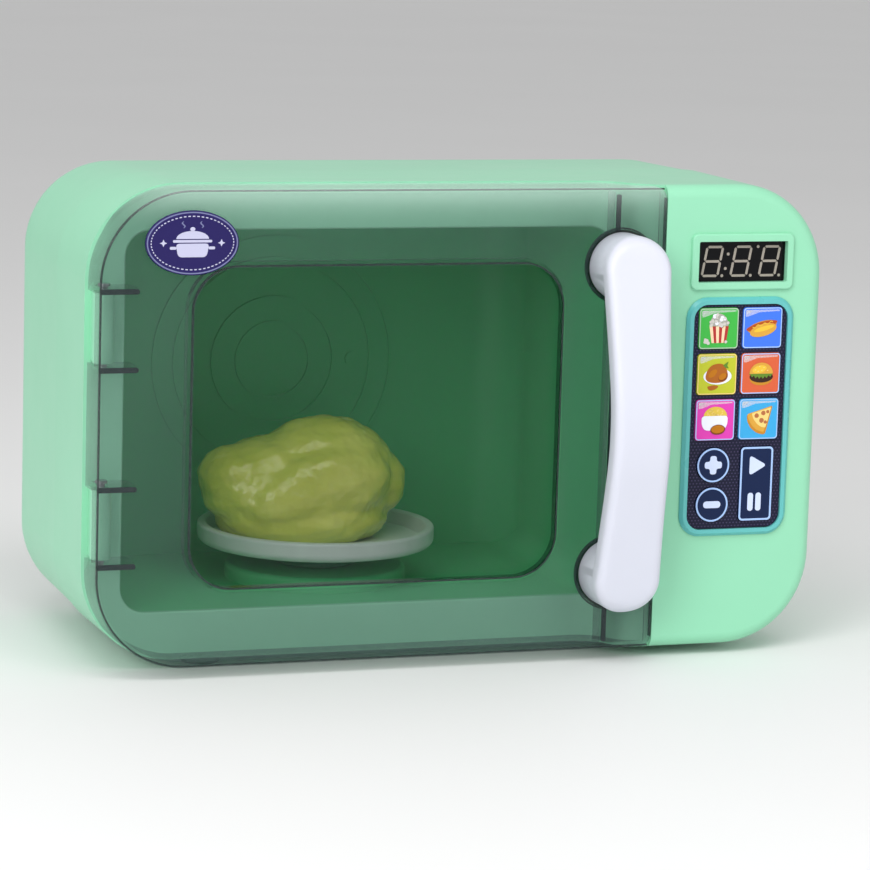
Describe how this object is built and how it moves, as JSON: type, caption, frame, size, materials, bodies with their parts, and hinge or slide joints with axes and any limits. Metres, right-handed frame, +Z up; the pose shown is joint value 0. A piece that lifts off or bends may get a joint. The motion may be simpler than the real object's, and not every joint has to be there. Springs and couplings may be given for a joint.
{
  "type": "toy microwave oven",
  "caption": "Toy microwave oven with a see-through swinging door, bowed handle, display, picture keypad, turning plate and a play roast chicken.",
  "frame": {"origin": "under the middle of the toy, on the surface it stands on", "axes": "+X to the right seen from the front, +Y to the back, +Z up"},
  "size_m": [0.3, 0.176, 0.191],
  "materials": {
    "mint": "satin moulded plastic",
    "mint_liner": "satin moulded plastic",
    "smoke": "polished clear smoke plastic",
    "white": "polished white plastic",
    "badge": "printed plaque",
    "teal": "satin",
    "navy": "printed sheet with fine dots",
    "key_green": "printed key",
    "key_blue": "printed key",
    "key_yellow": "printed key",
    "key_orange": "printed key",
    "key_magenta": "printed key",
    "key_cyan": "printed key",
    "key_navy": "printed key",
    "black_plastic": "moulded",
    "board_green": "circuit board",
    "screw_steel": "zinc plated",
    "display_black": "filled LED module face",
    "segment_grey": "unlit segments",
    "frosted": "frosted translucent plastic",
    "nylon": "moulded gear plastic",
    "axle_steel": "ground pin",
    "motor_can": "plated can",
    "chicken": "soft golden play food",
    "cell_wrap": "plain wrap",
    "contact_brass": "plated spring plate",
    "speaker_black": "paper and frame",
    "clear_lens": "clear moulded",
    "rubber": "moulded"
  },
  "bodies": {
    "cabinet": {"front_shell": "mint", "rear_shell": "mint", "cavity_liner": "mint_liner", "keypad_frame": "teal", "keypad_overlay": "navy", "key_switches": "black_plastic", "main_board": "board_green", "board_screws": "screw_steel", "display_module": "display_black", "display_segments": "segment_grey", "door_switch": "black_plastic", "gear_axles": "axle_steel", "drive_motor": "motor_can", "gearbox_base": "black_plastic", "gearbox_cover": "black_plastic", "gearbox_screws": "screw_steel", "battery_box": "mint_liner", "battery_cells": "cell_wrap", "battery_contacts": "contact_brass", "battery_door": "mint", "battery_screw": "screw_steel", "speaker": "speaker_black", "power_switch": "black_plastic", "lamp_lens": "clear_lens", "cavity_lamp": "white", "rubber_feet": "rubber", "case_screws": "screw_steel"},
    "door": {"door_shell": "smoke", "door_handle": "white", "handle_screws": "screw_steel", "hinge_pins": "screw_steel", "door_badge": "badge"},
    "turntable": {"drive_hub": "white", "output_gear": "nylon"},
    "plate": {"turntable_plate": "frosted"},
    "chicken": {"play_chicken": "chicken"},
    "first_idler": {"first_idler_gear": "nylon"},
    "second_idler": {"second_idler_gear": "nylon"},
    "motor_rotor": {"motor_pinion": "nylon"},
    "power_slider": {"power_slider": "black_plastic"},
    "key_popcorn": {"key_popcorn": "key_green"},
    "key_hot_dog": {"key_hot_dog": "key_blue"},
    "key_roast": {"key_roast": "key_yellow"},
    "key_burger": {"key_burger": "key_orange"},
    "key_rice": {"key_rice": "key_magenta"},
    "key_pizza": {"key_pizza": "key_cyan"},
    "key_plus": {"key_plus": "key_navy"},
    "key_minus": {"key_minus": "key_navy"},
    "key_play_pause": {"key_play_pause": "key_navy"}
  },
  "joints": [
    {"name": "door_hinge", "type": "hinge", "parent": "cabinet", "child": "door", "pos_m": [-0.1445, -0.045, 0.0975], "axis": [0, 0, -1], "range_deg": [0, 105]},
    {"name": "turntable_spin", "type": "hinge", "parent": "cabinet", "child": "turntable", "pos_m": [-0.037, 0.0205, 0.03], "axis": [0, 0, 1], "continuous": true},
    {"name": "plate_lift", "type": "slide", "parent": "turntable", "child": "plate", "axis": [0, 0, 1], "range_m": [0, 0.03]},
    {"name": "chicken_lift", "type": "slide", "parent": "plate", "child": "chicken", "axis": [0, 0, 1], "range_m": [0, 0.05]},
    {"name": "second_idler_spin", "type": "hinge", "parent": "cabinet", "child": "second_idler", "pos_m": [-0.051, 0.0205, 0.012], "axis": [0, 0, 1], "continuous": true},
    {"name": "first_idler_spin", "type": "hinge", "parent": "cabinet", "child": "first_idler", "pos_m": [-0.051, 0.0065, 0.012], "axis": [0, 0, 1], "continuous": true},
    {"name": "motor_spin", "type": "hinge", "parent": "cabinet", "child": "motor_rotor", "pos_m": [-0.042, -0.00422, 0.012], "axis": [0, 0, 1], "continuous": true},
    {"name": "power_slide", "type": "slide", "parent": "cabinet", "child": "power_slider", "axis": [1, 0, 0], "range_m": [0, 0.004]},
    {"name": "key_popcorn_press", "type": "slide", "parent": "cabinet", "child": "key_popcorn", "axis": [0, 1, 0], "range_m": [0, 0.0008], "stiffness_N_per_m": 400},
    {"name": "key_hot_dog_press", "type": "slide", "parent": "cabinet", "child": "key_hot_dog", "axis": [0, 1, 0], "range_m": [0, 0.0008], "stiffness_N_per_m": 400},
    {"name": "key_roast_press", "type": "slide", "parent": "cabinet", "child": "key_roast", "axis": [0, 1, 0], "range_m": [0, 0.0008], "stiffness_N_per_m": 400},
    {"name": "key_burger_press", "type": "slide", "parent": "cabinet", "child": "key_burger", "axis": [0, 1, 0], "range_m": [0, 0.0008], "stiffness_N_per_m": 400},
    {"name": "key_rice_press", "type": "slide", "parent": "cabinet", "child": "key_rice", "axis": [0, 1, 0], "range_m": [0, 0.0008], "stiffness_N_per_m": 400},
    {"name": "key_pizza_press", "type": "slide", "parent": "cabinet", "child": "key_pizza", "axis": [0, 1, 0], "range_m": [0, 0.0008], "stiffness_N_per_m": 400},
    {"name": "key_plus_press", "type": "slide", "parent": "cabinet", "child": "key_plus", "axis": [0, 1, 0], "range_m": [0, 0.0008], "stiffness_N_per_m": 400},
    {"name": "key_minus_press", "type": "slide", "parent": "cabinet", "child": "key_minus", "axis": [0, 1, 0], "range_m": [0, 0.0008], "stiffness_N_per_m": 400},
    {"name": "key_play_pause_press", "type": "slide", "parent": "cabinet", "child": "key_play_pause", "axis": [0, 1, 0], "range_m": [0, 0.0008], "stiffness_N_per_m": 400}
  ],
  "couplings": [
    {"joint": "second_idler_spin", "follows": "turntable_spin", "ratio": -3},
    {"joint": "first_idler_spin", "follows": "turntable_spin", "ratio": 9},
    {"joint": "motor_spin", "follows": "turntable_spin", "ratio": -27}
  ]
}
